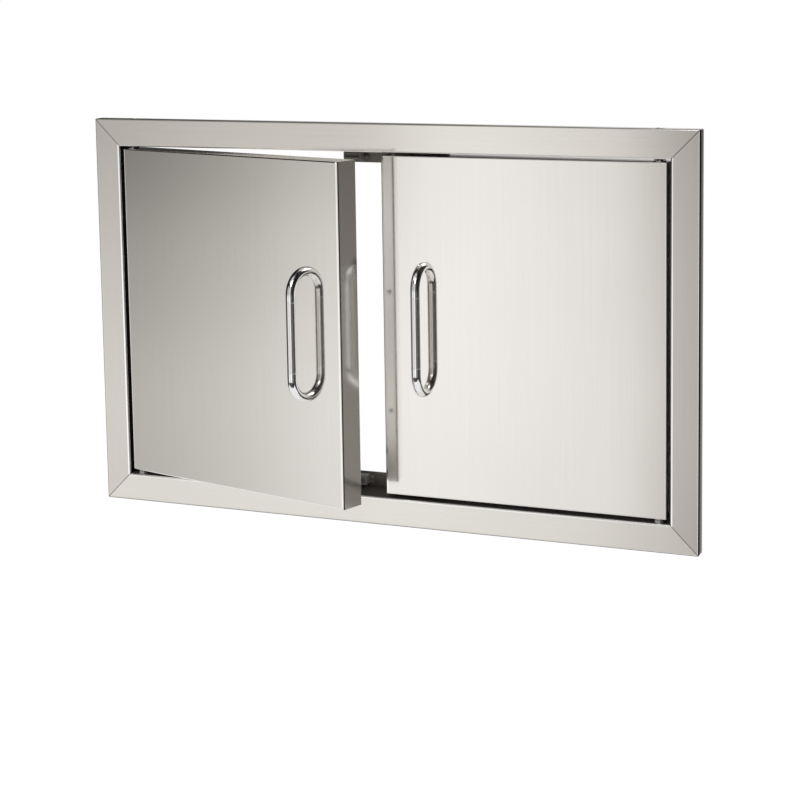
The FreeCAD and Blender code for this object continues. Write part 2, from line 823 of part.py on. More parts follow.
def pin_spring():
    """A compression spring between the lower ear and the collar.

    A six-sided wire in short straight lengths, which keeps its mesh small. Each joint of two lengths lies in
    the plane square to the coil there.
    """
    _, ear_top, _ = guide_levels()
    coil = pin_radius + spring_clearance + spring_wire / 2
    low = ear_top + spring_seat + spring_wire / 2
    high = collar_level() - collar_height - spring_seat - spring_wire / 2
    pitch = (high - low) / spring_turns

    def wire_corners(turn):
        angle = 2 * math.pi * turn
        out = point(math.cos(angle), math.sin(angle), 0)
        along = point(-math.sin(angle), math.cos(angle), pitch / (2 * math.pi * coil)).normalize()
        up = along.cross(out)
        middle = point(pivot_x, pivot_y, low + pitch * turn) + out * coil
        corners = []
        for side in range(spring_wire_sides):
            lean = 2 * math.pi * side / spring_wire_sides
            corners.append(middle + (out * math.cos(lean) + up * math.sin(lean)) * (spring_wire / 2))
        return corners

    joints = [wire_corners(i / spring_chords) for i in range(spring_turns * spring_chords + 1)]
    faces = [Part.Face(Part.makePolygon(corners + corners[:1])) for corners in (joints[0], joints[-1])]
    for near, far in zip(joints, joints[1:]):
        for a in range(spring_wire_sides):
            b = (a + 1) % spring_wire_sides
            faces.append(Part.Face(Part.makePolygon([near[a], near[b], far[b], near[a]])))
            faces.append(Part.Face(Part.makePolygon([near[a], far[b], far[a], near[a]])))
    print("spring: least gap between neighbouring curls", round(pitch - spring_wire, 3), "mm")
    return Part.Solid(Part.Shell(faces))


def door_pieces(side):
    """Every piece of the left door in its closed place, by node name."""
    elbow = handle_elbow()
    return {
        side + "_door_pan": door_pan(),
        side + "_door_liner": door_liner(),
        side + "_liner_screws": liner_screws(),
        side + "_strikes": group([strike(spot) for spot in strike_spots()]),
        side + "_strike_rivets": strike_rivets(),
        side + "_handle_tube": handle_tube(),
        side + "_handle_elbows": group([elbow, mirrored_in_height(elbow)]),
        side + "_handle_backing": handle_backing(),
        side + "_handle_screws": handle_screws(),
        side + "_pin_guide_bracket": guide_bracket(),
        side + "_pin_guide_bush": guide_bush(),
        side + "_lower_door_bush": door_lower_bush(),
        side + "_lower_pivot_plate": lower_pivot_plate(),
        side + "_pin_spring": pin_spring(),
        side + "_hinge_pin": sprung_pin(),
        side + "_pin_collar": pin_collar(),
        side + "_pin_lever_sleeve": lever_sleeve(),
    }


def fixed_pivots():
    """Studs, rings and bushes on the frame, one of each for each door."""
    pieces = {
        "lower_pivot_studs": lower_pivot_stud(),
        "pivot_spacers": pivot_spacer(),
        "upper_frame_bushes": frame_bush(),
    }
    return {name: group([shape, flipped(shape, X)]) for name, shape in pieces.items()}


def assembly():
    nodes = {}
    nodes.update(frame_pieces())
    nodes["corner_gussets"] = corner_gussets()
    nodes.update(catch_pieces())
    nodes.update(fixed_pivots())
    for name, shape in door_pieces("left").items():
        shape.rotate(point(pivot_x, pivot_y, 0), Z, -left_door_ajar_deg)
        nodes[name] = shape
    nodes.update({name: flipped(shape, X) for name, shape in door_pieces("right").items()})
    return nodes


os.makedirs("parts", exist_ok=True)
for node, solid in assembly().items():
    if not solid.isValid():
        print("not valid:", node)
    solid.exportStep("parts/" + node + ".step")
print("door", round(door_width, 2), "by", round(door_top - door_bottom, 2), "mm")
print("pivot at", round(pivot_x, 2), round(pivot_y, 2))
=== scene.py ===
# %% [markdown]
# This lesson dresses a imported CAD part: a pair of steel access doors for an outdoor kitchen.
# The solids already have the right shapes and sizes, so most of the work here is finish and light.
# We load the frame first, because every later piece and material hangs on its bodies and nodes.
# Outlines, pivots and travels that the frame already knows are read from it and not typed again.

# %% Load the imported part
import json
import math

import bpy
import numpy as np
from mathutils import Matrix, Vector


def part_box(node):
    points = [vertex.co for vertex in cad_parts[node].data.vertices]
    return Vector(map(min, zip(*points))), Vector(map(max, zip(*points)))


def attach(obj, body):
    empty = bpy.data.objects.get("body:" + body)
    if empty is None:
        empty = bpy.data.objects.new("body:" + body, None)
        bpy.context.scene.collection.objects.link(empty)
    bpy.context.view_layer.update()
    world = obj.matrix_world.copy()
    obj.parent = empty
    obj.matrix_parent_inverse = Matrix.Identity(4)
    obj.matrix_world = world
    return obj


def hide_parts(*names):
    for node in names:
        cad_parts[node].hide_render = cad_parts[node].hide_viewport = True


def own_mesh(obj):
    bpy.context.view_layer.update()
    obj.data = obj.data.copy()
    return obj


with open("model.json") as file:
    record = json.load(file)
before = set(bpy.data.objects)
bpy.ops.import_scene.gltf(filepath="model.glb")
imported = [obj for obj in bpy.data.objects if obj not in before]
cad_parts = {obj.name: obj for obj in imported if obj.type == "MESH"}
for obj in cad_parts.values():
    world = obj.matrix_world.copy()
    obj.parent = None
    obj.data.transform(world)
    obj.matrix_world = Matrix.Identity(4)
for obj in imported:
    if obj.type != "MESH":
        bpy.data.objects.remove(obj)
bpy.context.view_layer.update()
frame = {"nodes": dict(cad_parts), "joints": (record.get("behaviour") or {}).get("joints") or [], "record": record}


def box_mm(node):
    """A node's lowest and highest corner at rest, in millimetres to two decimals."""
    return [[round(1000 * float(c), 2) for c in corner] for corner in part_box(node)]


joints = {joint["name"]: joint for joint in frame["joints"]}

# %% [markdown]
# The camera stands to the right of the doors and a little above them, far enough for a calm perspective.
# Its place and turn were worked out from the straight edges of the frame in the photograph.
# The shift lowers the picture's window without tilting the camera, which keeps the uprights upright.

# %% Camera
camera_place = Vector((1.04677, -2.38163, 0.46270))
camera_right = Vector((0.91895, 0.39406, -0.01551))
camera_down = Vector((0.03888, -0.12965, -0.99080))
focal_pixels = 2057.9
picture_pixels = 800
sensor_width = 36.0

camera_data = bpy.data.cameras.new("studio_camera")
camera_data.sensor_width = sensor_width
camera_data.lens = focal_pixels / picture_pixels * sensor_width
camera_data.shift_y = -0.2
camera_data.clip_end = 60.0
camera = bpy.data.objects.new("studio_camera", camera_data)
bpy.context.scene.collection.objects.link(camera)
up = -camera_down.normalized()
right = (camera_right - up * camera_right.dot(up)).normalized()
back = right.cross(up)
camera.matrix_world = Matrix.Translation(camera_place) @ Matrix((right, up, back)).transposed().to_4x4()
bpy.context.scene.camera = camera
bpy.context.scene.view_settings.view_transform = "Standard"
print("lens in mm:", round(camera_data.lens, 2))

# %% [markdown]
# Node materials are easier to read through a few small helpers.
# One adds a node and sets its sockets by name. The others wire the sums, shares and mixes that come up again.
# A new material keeps only its output, so that each finish is wired on purpose.

# %% Helpers for node trees
def add_node(tree, kind, **values):
    """A new node of the kind. Keywords that name a socket set it, and the others set a property."""
    node = tree.nodes.new(kind)
    for key, value in values.items():
        if hasattr(node, key):
            setattr(node, key, value)
        else:
            node.inputs[key.replace("_", " ")].default_value = value
    return node


def feed(tree, socket, value):
    """Links an output socket to the input socket, or writes a plain number or colour on it."""
    if isinstance(value, bpy.types.NodeSocket):
        tree.links.new(value, socket)
    else:
        socket.default_value = value


def chain(tree, operation, first, second=0.0):
    """A sum, comparison or other Math step on sockets or plain numbers. Gives its output socket."""
    node = add_node(tree, "ShaderNodeMath", operation=operation)
    feed(tree, node.inputs[0], first)
    feed(tree, node.inputs[1], second)
    return node.outputs[0]


def share_between(tree, value, low, high, at_low=0.0, at_high=1.0):
    """Where a value lies between low and high, told from at_low to at_high and never beyond them."""
    node = add_node(tree, "ShaderNodeMapRange", From_Min=low, From_Max=high, To_Min=at_low, To_Max=at_high)
    tree.links.new(value, node.inputs["Value"])
    return node.outputs[0]


def mixed_shaders(tree, share, first, second):
    """The first shader where share is 0 and the second where it is 1."""
    node = tree.nodes.new("ShaderNodeMixShader")
    for slot, value in enumerate((share, first, second)):
        tree.links.new(value, node.inputs[slot])
    return node.outputs[0]


def mixed_colours(tree, share, first, second):
    """The first colour where share is 0 and the second where it is 1."""
    node = add_node(tree, "ShaderNodeMix", data_type="RGBA")
    for slot, value in ((0, share), (6, first), (7, second)):
        feed(tree, node.inputs[slot], value)
    return node.outputs[2]


def new_material(name):
    """An empty node material with its output node."""
    material = bpy.data.materials.new(name)
    material.use_nodes = True
    tree = material.node_tree
    tree.nodes.clear()
    return material, tree, tree.nodes.new("ShaderNodeOutputMaterial")


white = (1.0, 1.0, 1.0, 1.0)
print("helpers for node trees ready")

# %% [markdown]
# The studio is a pale floor under white air, as in a catalogue picture.
# Steel shows what stands around it, so the air that mirror-like rays meet isn't one flat white.
# It could be a picture of a studio wrapped round the scene. Ramps that read the direction are used instead,
# because each white sheet and each gap then has its own numbers and is easy to move.
# A direction is told by two angles: how far left of straight ahead it points, and how far above the horizon.

# %% Directions in the air
def turn(degrees):
    """Where a direction lies on a ramp round the part: degrees left of straight ahead as a share of a turn."""
    return (degrees + 180.0) / 360.0


def tilt(degrees):
    """Where a height above or below the horizon lies on a ramp from floor to ceiling."""
    return (degrees + 90.0) / 180.0


world = bpy.data.worlds.new("studio_air")
bpy.context.scene.world = world
world.use_nodes = True
air = world.node_tree
air.nodes.clear()
direction = air.nodes.new("ShaderNodeTexCoord")
parts = air.nodes.new("ShaderNodeSeparateXYZ")
air.links.new(direction.outputs["Generated"], parts.inputs[0])
left = chain(air, "MULTIPLY", parts.outputs["X"], -1.0)
ahead = chain(air, "MULTIPLY", parts.outputs["Y"], -1.0)
round_share = share_between(air, chain(air, "ARCTAN2", left, ahead), -math.pi, math.pi)
rise_share = share_between(air, chain(air, "ARCSINE", parts.outputs["Z"]), -math.pi / 2, math.pi / 2)
print("straight ahead lies at", turn(0), "and the horizon at", tilt(0))

# %% [markdown]
# The air is bright before the doors, as from large white sheets, and dark at the sides, where the room is.
# One ramp gives that brightness round the part, and another how it fades towards the horizon.
# How strongly it fades depends on the side again, because the sheets don't all stand equally high.
# The bent handles also look up and down, where they show one more row of sheets with dark gaps between.

# %% Sheets round the part
def grey_ramp(tree, value, stops):
    """Turns a share from 0 to 1 into a grey level. Each stop is a position with its brightness."""
    node = tree.nodes.new("ShaderNodeValToRGB")
    ramp = node.color_ramp
    ramp.interpolation = "EASE"
    while len(ramp.elements) > 1:
        ramp.elements.remove(ramp.elements[-1])
    for number, (position, grey) in enumerate(stops):
        stop = ramp.elements[0] if number == 0 else ramp.elements.new(position)
        stop.position = position
        stop.color = (grey, grey, grey, 1.0)
    tree.links.new(value, node.inputs[0])
    return node.outputs[0]


sheets_round = [
    (-180, 1.45), (-173, 1.40), (-166, 0.30), (-150, 0.12), (-105, 0.05), (-70, 0.06), (-61, 0.17),
    (-55, 0.33), (-49, 0.12), (-30, 0.10), (-20, 1.05), (0, 1.2), (9, 0.90), (13.5, 0.42), (15.2, 0.50),
    (16.5, 0.93), (18, 0.90), (22, 1.0), (28, 0.93), (32, 0.81), (38, 1.10), (49, 1.25), (55.4, 0.86),
    (58, 0.67), (60.6, 0.53), (72, 0.08), (138, 0.08), (149, 0.16), (156, 0.40), (165, 0.95), (172, 0.90),
    (180, 1.45)]
fade_up = [(-12, 1.0), (-8, 0.90), (-5, 0.76), (0, 0.60)]
fade_strength = [
    (-180, 0.45), (-150, 0.45), (-60, 0.60), (-20, 0.15), (15, 0.26), (17.5, 0.07), (19.7, 0.01), (23.2, 0.0),
    (23.8, 0.29), (28, 0.29), (31.4, 0.42), (55.4, 0.36), (58.4, 0.56), (60.6, 0.76), (70, 0.80), (135, 0.80),
    (148, 0.12), (168, 0.12), (180, 0.45)]
sheets_up = [
    (-90, 0.90), (-45, 0.80), (-36, 0.08), (-23, 0.10), (-18, 0.92), (-14.6, 0.95), (-12, 1.0), (-8, 1.0),
    (-6.5, 0.98), (22, 0.98), (29, 0.12), (35, 0.10), (41, 1.0), (68, 1.0), (76, 0.3), (90, 0.5)]
sheets_before = [(-150, 0.0), (-130, 1.0), (125, 1.0), (142, 0.0)]
strongest_fade = 4.0

brightness = grey_ramp(air, round_share, [(turn(angle), grey) for angle, grey in sheets_round])
fade = grey_ramp(air, rise_share, [(tilt(angle), grey) for angle, grey in fade_up])
strength = grey_ramp(air, round_share, [(turn(angle), grey) for angle, grey in fade_strength])
row = grey_ramp(air, rise_share, [(tilt(angle), grey) for angle, grey in sheets_up])
reach = grey_ramp(air, round_share, [(turn(angle), grey) for angle, grey in sheets_before])
faded = chain(air, "POWER", fade, chain(air, "MULTIPLY", strength, strongest_fade))
glow = chain(air, "MULTIPLY", chain(air, "MULTIPLY", brightness, faded), chain(air, "POWER", row, reach))
print("stops round the part:", len(sheets_round), "up and down:", len(fade_up))

# %% [markdown]
# Not every ray may meet these sheets. The camera sees plain white behind the doors, and matt surfaces get
# an even, soft light. Only mirror-like rays and rays through clear pieces see the sheets, which are a little
# warmer where they are dim.

# %% What each ray meets
matt_air = add_node(air, "ShaderNodeBackground", Color=white, Strength=0.55)
white_air = add_node(air, "ShaderNodeBackground", Color=white, Strength=1.0)
mirror_air = air.nodes.new("ShaderNodeBackground")
air.links.new(mixed_colours(air, glow, (1.0, 0.965, 0.90, 1.0), white), mirror_air.inputs["Color"])
air.links.new(glow, mirror_air.inputs["Strength"])
ray = air.nodes.new("ShaderNodeLightPath")
mirror_ray = chain(air, "MAXIMUM", ray.outputs["Is Glossy Ray"], ray.outputs["Is Transmission Ray"])
lit_air = mixed_shaders(air, mirror_ray, matt_air.outputs[0], mirror_air.outputs[0])
all_air = mixed_shaders(air, ray.outputs["Is Camera Ray"], lit_air, white_air.outputs[0])
air_output = air.nodes.new("ShaderNodeOutputWorld")
air.links.new(all_air, air_output.inputs[0])
print("air nodes:", len(air.nodes))

# %% [markdown]
# The floor is a matt pale sheet well below the doors.
# It also glows a little for the camera and for mirror-like rays, so that both see it nearly white.
# The glow is added to the lit floor and doesn't replace it, so the floor keeps the part's soft shadow.
# Steel mirrors a little less of it, or else doors seen from above would be as white as the floor.

# %% Floor
floor_level = -0.9
floor_half_width, floor_front, floor_depth = 1.8, -1.0, 2.8
mirrored_share = 0.7


def flat_sheet(name, corner, along, across):
    """A flat four-cornered mesh: corner, corner plus along, plus both, corner plus across."""
    corner, along, across = (np.array(v, float) for v in (corner, along, across))
    points = np.array([corner, corner + along, corner + along + across, corner + across])
    mesh = bpy.data.meshes.new(name)
    mesh.from_pydata(points.tolist(), [], [(0, 1, 2, 3)])
    sheet = bpy.data.objects.new(name, mesh)
    bpy.context.scene.collection.objects.link(sheet)
    return sheet


floor = flat_sheet("studio_floor", (-floor_half_width, floor_front, floor_level),
                   (2 * floor_half_width, 0, 0), (0, floor_depth, 0))
floor_material, tree, output = new_material("pale_floor")
matt = add_node(tree, "ShaderNodeBsdfDiffuse", Color=(0.86, 0.86, 0.86, 1.0))
floor_glow = add_node(tree, "ShaderNodeEmission", Color=white, Strength=0.55)
both = tree.nodes.new("ShaderNodeAddShader")
tree.links.new(matt.outputs[0], both.inputs[0])
tree.links.new(floor_glow.outputs[0], both.inputs[1])
seen = tree.nodes.new("ShaderNodeLightPath")
mirrored = chain(tree, "MAXIMUM", seen.outputs["Is Glossy Ray"], seen.outputs["Is Transmission Ray"])
in_steel = chain(tree, "MULTIPLY", mirrored, mirrored_share)
glowing = chain(tree, "MAXIMUM", seen.outputs["Is Camera Ray"], in_steel)
tree.links.new(mixed_shaders(tree, glowing, matt.outputs[0], both.outputs[0]), output.inputs[0])
floor.data.materials.append(floor_material)
print("floor level in m:", floor_level)

# %% [markdown]
# One large lamp stands in front, above and a little to the right, like a soft box.
# Most of the light comes from the air. The lamp only gives the shadows a side and the curved pieces a glint.

# %% Lamp
def soft_lamp(name, place, aim, width, height, power):
    """A rectangular area lamp at place that faces aim."""
    data = bpy.data.lights.new(name, "AREA")
    data.shape = "RECTANGLE"
    data.size = width
    data.size_y = height
    data.energy = power
    lamp = bpy.data.objects.new(name, data)
    bpy.context.scene.collection.objects.link(lamp)
    turned_to_aim = (Vector(aim) - Vector(place)).to_track_quat("-Z", "Y").to_matrix().to_4x4()
    lamp.matrix_world = Matrix.Translation(Vector(place)) @ turned_to_aim
    return lamp


key_lamp = soft_lamp("key_lamp", (0.4, -2.2, 1.8), (0, 0, 0), 1.6, 1.2, 14.0)
print("lamp power in W:", key_lamp.data.energy)

# %% [markdown]
# Brushed steel has fine scratches that all run one way along each sheet.
# A noise texture squeezed across the scratches and stretched along them gives such streaks.
# It is a node group, because frame, doors, liners and brackets all use it with their own direction.

# %% The brushed grain group
def group_with(name, sockets_in, sockets_out):
    """A new shader node group with its two end nodes. Sockets are given as name and kind."""
    group = bpy.data.node_groups.new(name, "ShaderNodeTree")
    for label, kind in sockets_in:
        group.interface.new_socket(label, in_out="INPUT", socket_type=kind)
    for label, kind in sockets_out:
        group.interface.new_socket(label, in_out="OUTPUT", socket_type=kind)
    return group, group.nodes.new("NodeGroupInput"), group.nodes.new("NodeGroupOutput")


grain, grain_in, grain_out = group_with(
    "brushed_grain",
    [("Place", "NodeSocketVector"), ("Stretch", "NodeSocketVector")],
    [("Streaks", "NodeSocketFloat"), ("Clouds", "NodeSocketFloat")],
)
stretched = add_node(grain, "ShaderNodeVectorMath", operation="MULTIPLY")
streaks = add_node(grain, "ShaderNodeTexNoise", Scale=1.0, Detail=3.0, Roughness=0.7)
clouds = add_node(grain, "ShaderNodeTexNoise", Scale=5.0, Detail=2.0, Roughness=0.5)
grain.links.new(grain_in.outputs["Place"], stretched.inputs[0])
grain.links.new(grain_in.outputs["Stretch"], stretched.inputs[1])
grain.links.new(stretched.outputs[0], streaks.inputs["Vector"])
grain.links.new(grain_in.outputs["Place"], clouds.inputs["Vector"])
grain.links.new(streaks.outputs[0], grain_out.inputs["Streaks"])
grain.links.new(clouds.outputs[0], grain_out.inputs["Clouds"])
print("grain group sockets:", [s.name for s in grain.interface.items_tree])

# %% [markdown]
# The face frame isn't equally bright all over.
# Its throat is duller, and on the side that looks at the doors its colour is painted dark as shade.
# Each mitre seam holds a fine dark line of polishing dust along its ground weld.
# The fold from the flange into the throat is rounded, and a highlight is painted on it.
# The outer returns show a dark line of painted shade.
# These could be painted by hand. Here they are masks worked out from the place on the part: x and z measured
# towards the outline, and y from the front. The outlines are read from the frame's own boxes.

# %% Masks on the face frame
stile_low, stile_high = box_mm("frame_right_stile")
rail_low, rail_high = box_mm("frame_top_rail")
half_width, half_height = stile_high[0] / 1000, rail_high[2] / 1000
throat_half_width, throat_half_height = stile_low[0] / 1000, rail_low[2] / 1000
throat_reach, facing_inwards = 0.004, -0.001
throat_start, throat_fade = -0.0152, 0.0012
edge_start, edge_dark, edge_clear = -0.01635, -0.0130, -0.0050
edge_reach = 0.0013
seam_half = 0.0007
fold_start, fold_reach = 0.0012, 0.0032

marks_group, marks_in, marks_out = group_with(
    "frame_marks",
    [("Place", "NodeSocketVector"), ("Facing", "NodeSocketVector")],
    [("Throat", "NodeSocketFloat"), ("Seam", "NodeSocketFloat"), ("Fold", "NodeSocketFloat"),
     ("Edge", "NodeSocketFloat")],
)
split = marks_group.nodes.new("ShaderNodeSeparateXYZ")
marks_group.links.new(marks_in.outputs["Place"], split.inputs[0])
depth = split.outputs["Y"]
side = chain(marks_group, "ABSOLUTE", split.outputs["X"])
high = chain(marks_group, "ABSOLUTE", split.outputs["Z"])

# The throat, where dark shade is painted: near the opening's outline, behind the fold, and facing the middle
# of the opening.
beyond = chain(marks_group, "MAXIMUM", chain(marks_group, "SUBTRACT", side, throat_half_width),
               chain(marks_group, "SUBTRACT", high, throat_half_height))
level_place = add_node(marks_group, "ShaderNodeVectorMath", operation="MULTIPLY")
level_place.inputs[1].default_value = (1.0, 0.0, 1.0)
marks_group.links.new(marks_in.outputs["Place"], level_place.inputs[0])
outwards = add_node(marks_group, "ShaderNodeVectorMath", operation="DOT_PRODUCT")
marks_group.links.new(level_place.outputs[0], outwards.inputs[0])
marks_group.links.new(marks_in.outputs["Facing"], outwards.inputs[1])
inner_side = chain(marks_group, "LESS_THAN", outwards.outputs["Value"], facing_inwards)
near = chain(marks_group, "MULTIPLY", inner_side, chain(marks_group, "LESS_THAN", beyond, throat_reach))
deep = share_between(marks_group, depth, throat_start, throat_start + throat_fade)
marks_group.links.new(chain(marks_group, "MULTIPLY", near, deep), marks_out.inputs["Throat"])

# The fold, where a highlight is painted and a bump rolls the light: full at the opening's outline and gone
# a few millimetres into the flange.
fold = share_between(marks_group, beyond, fold_start, fold_reach, 1.0, 0.0)
marks_group.links.new(fold, marks_out.inputs["Fold"])

# The outer edge: a thin band of painted shade on the right and lower returns, just behind the flange's front.
to_right = chain(marks_group, "SUBTRACT", half_width, split.outputs["X"])
to_bottom = chain(marks_group, "ADD", half_height, split.outputs["Z"])
outermost = chain(marks_group, "LESS_THAN", chain(marks_group, "MINIMUM", to_right, to_bottom), edge_reach)
behind_front = chain(marks_group, "GREATER_THAN", depth, edge_start)
shaded = share_between(marks_group, depth, edge_dark, edge_clear, 1.0, 0.0)
edge = chain(marks_group, "MULTIPLY", outermost, chain(marks_group, "MULTIPLY", behind_front, shaded))
marks_group.links.new(edge, marks_out.inputs["Edge"])

# The seam: where a point is as far from the side as from the top or bottom.
from_side = chain(marks_group, "SUBTRACT", half_width, side)
from_top = chain(marks_group, "SUBTRACT", half_height, high)
off_mitre = chain(marks_group, "ABSOLUTE", chain(marks_group, "SUBTRACT", from_side, from_top))
seam = share_between(marks_group, off_mitre, seam_half * 0.5, seam_half, 1.0, 0.0)
marks_group.links.new(seam, marks_out.inputs["Seam"])
print("frame marks made, seam width in mm:", seam_half * 2000)

# %% [markdown]
# A door's free edge is folded back from its front. The fold catches the light as a thin white line, and a dark
# line of painted shade follows it on the return. Both are only a millimetre or two wide, so the finish shows them.
# A door turns with its hinge, so the edge is looked for in the door's own closed place:
# the point is turned back round the pivot by the angle at which the door stands in the picture.

# %% A door's free edge
pivot_place = tuple(joints["right_door_hinge"]["pos_m"][:2])
pivot_to_edge = pivot_place[0] - box_mm("right_door_pan")[0][0] / 1000
ajar = math.radians(-joints["left_door_hinge"]["range_deg"][0])
door_fold_start, door_fold_end, return_reach = 0.0032, 0.0014, 0.0006
crease_dark, crease_clear = -0.0076, -0.0056


def free_edge(tree, place, pivot_x, pivot_y, opened, flip):
    """Two masks in the door's closed place: the fold of its free edge, and the line of painted shade behind it."""
    closed = add_node(tree, "ShaderNodeMapping")
    closed.inputs["Scale"].default_value = (flip, 1.0, 1.0)
    closed.inputs["Rotation"].default_value = (0.0, 0.0, opened)
    pivot = Matrix.Rotation(opened, 3, "Z") @ Vector((flip * pivot_x, pivot_y, 0.0))
    closed.inputs["Location"].default_value = -pivot
    tree.links.new(place, closed.inputs["Vector"])
    apart = add_node(tree, "ShaderNodeSeparateXYZ")
    tree.links.new(closed.outputs[0], apart.inputs[0])
    from_pivot = apart.outputs["X"]
    folded = share_between(tree, from_pivot, pivot_to_edge - door_fold_start, pivot_to_edge - door_fold_end)
    outermost = chain(tree, "GREATER_THAN", from_pivot, pivot_to_edge - return_reach)
    behind = share_between(tree, apart.outputs["Y"], crease_dark, crease_clear, 1.0, 0.0)
    return folded, chain(tree, "MULTIPLY", outermost, behind)


print("pivot to free edge in mm:", 1000 * pivot_to_edge)

# %% [markdown]
# One recipe makes every steel finish: colour, gloss and the direction of its grain differ.
# The streaks change the colour very slightly and give the scratches their depth. Broad clouds change the
# roughness, which keeps large panels from looking flat.
# The shader's own anisotropy spreads highlights across the scratches, as on real brushed sheet.
# A fold could be rounded in the mesh, but the solids stay as they are, so a bump rolls the light over it.

# %% The recipe for steel
# Painted colours: a dark one for the seam's joint line and the outer edge's painted shade, one for the crease's
# painted shade, and one for the fold's painted highlight.
seam_and_edge_shade_colour = (0.03, 0.028, 0.026, 1.0)
crease_shade_colour = (0.22, 0.21, 0.20, 1.0)
fold_highlight_colour = (0.98, 0.97, 0.95, 1.0)
fold_highlight_gain = 5.0
throat_dullness, return_dullness = 0.80, 0.06
front_facing = -0.6


def steel(name, colour, gloss, spread=0.0, along=(0.0, 0.0, 1.0), stretch=(900.0, 900.0, 6.0),
          streak_depth=0.06, bump=0.00002, throat=None, fold_highlight=0.0, roll=0.0, hinged=None):
    """Steel in one colour.

    Gloss is the mean roughness, spread the share of anisotropy, along the direction of the grain, stretch how
    much the streaks are drawn out each way, and bump the scratches' depth. On the face frame, throat is the dark
    colour painted as shade in the throat, and fold_highlight says whether a highlight is painted on the fold.
    On a door, hinged gives its pivot, its angle in the picture and its side, and a line of shade is painted
    behind its fold. Roll is how far a fold rolls.
    """
    material, tree, output = new_material(name)
    place = tree.nodes.new("ShaderNodeTexCoord")
    marks = tree.nodes.new("ShaderNodeGroup")
    marks.node_tree = grain
    marks.inputs["Stretch"].default_value = stretch
    tree.links.new(place.outputs["Object"], marks.inputs["Place"])
    shade = tree.nodes.new("ShaderNodeValToRGB")
    dark, light = shade.color_ramp.elements
    dark.position, light.position = 0.3, 0.7
    dark.color = [c * (1 - streak_depth) for c in colour] + [1.0]
    light.color = [min(1.0, c * (1 + streak_depth * 0.5)) for c in colour] + [1.0]
    tree.links.new(marks.outputs["Streaks"], shade.inputs[0])
    shown = shade.outputs[0]
    rough = share_between(tree, marks.outputs["Clouds"], 0.3, 0.7, gloss * 0.85, gloss * 1.15)
    folded = None
    if throat:
        darker = tree.nodes.new("ShaderNodeGroup")
        darker.node_tree = marks_group
        tree.links.new(place.outputs["Object"], darker.inputs["Place"])
        tree.links.new(place.outputs["Normal"], darker.inputs["Facing"])
        folded = darker.outputs["Fold"]
        # Painted highlight: the fold's colour is lightened towards white.
        fold_highlight_share = chain(tree, "MINIMUM", chain(tree, "MULTIPLY", folded, fold_highlight_gain * fold_highlight), 1.0)
        shown = mixed_colours(tree, fold_highlight_share, shown, fold_highlight_colour)
        # Painted shade: the throat's side that looks at the doors turns dark.
        shown = mixed_colours(tree, darker.outputs["Throat"], shown, throat)
        # The seam's dark joint line, and painted shade in a band on the outer returns.
        seam_and_edge_shade = chain(tree, "MAXIMUM", darker.outputs["Seam"], darker.outputs["Edge"])
        shown = mixed_colours(tree, seam_and_edge_shade, shown, seam_and_edge_shade_colour)
        rough = chain(tree, "ADD", rough, chain(tree, "MULTIPLY", darker.outputs["Throat"], throat_dullness))
    if hinged:
        folded, crease = free_edge(tree, place.outputs["Object"], *hinged)
        # Painted shade: a dark line on the door's return just behind the fold.
        shown = mixed_colours(tree, crease, shown, crease_shade_colour)
        facing = add_node(tree, "ShaderNodeSeparateXYZ")
        tree.links.new(place.outputs["Normal"], facing.inputs[0])
        returned = chain(tree, "GREATER_THAN", facing.outputs["Y"], front_facing)
        rough = chain(tree, "ADD", rough, chain(tree, "MULTIPLY", returned, return_dullness))
    metal = add_node(tree, "ShaderNodeBsdfPrincipled", Metallic=1.0, Anisotropic=spread)
    tree.links.new(shown, metal.inputs["Base Color"])
    tree.links.new(rough, metal.inputs["Roughness"])
    if bump > 0.0:
        relief = add_node(tree, "ShaderNodeBump", Strength=0.4, Distance=bump)
        tree.links.new(marks.outputs["Streaks"], relief.inputs["Height"])
        tree.links.new(relief.outputs[0], metal.inputs["Normal"])
        if roll > 0.0:
            rolled = add_node(tree, "ShaderNodeBump", Strength=1.0, Distance=roll, invert=True)
            tree.links.new(folded, rolled.inputs["Height"])
            tree.links.new(rolled.outputs[0], relief.inputs["Normal"])
    if spread > 0.0:
        way = add_node(tree, "ShaderNodeCombineXYZ", X=along[0], Y=along[1], Z=along[2])
        tree.links.new(way.outputs[0], metal.inputs["Tangent"])
    tree.links.new(metal.outputs[0], output.inputs[0])
    return material


print("steel recipe ready")
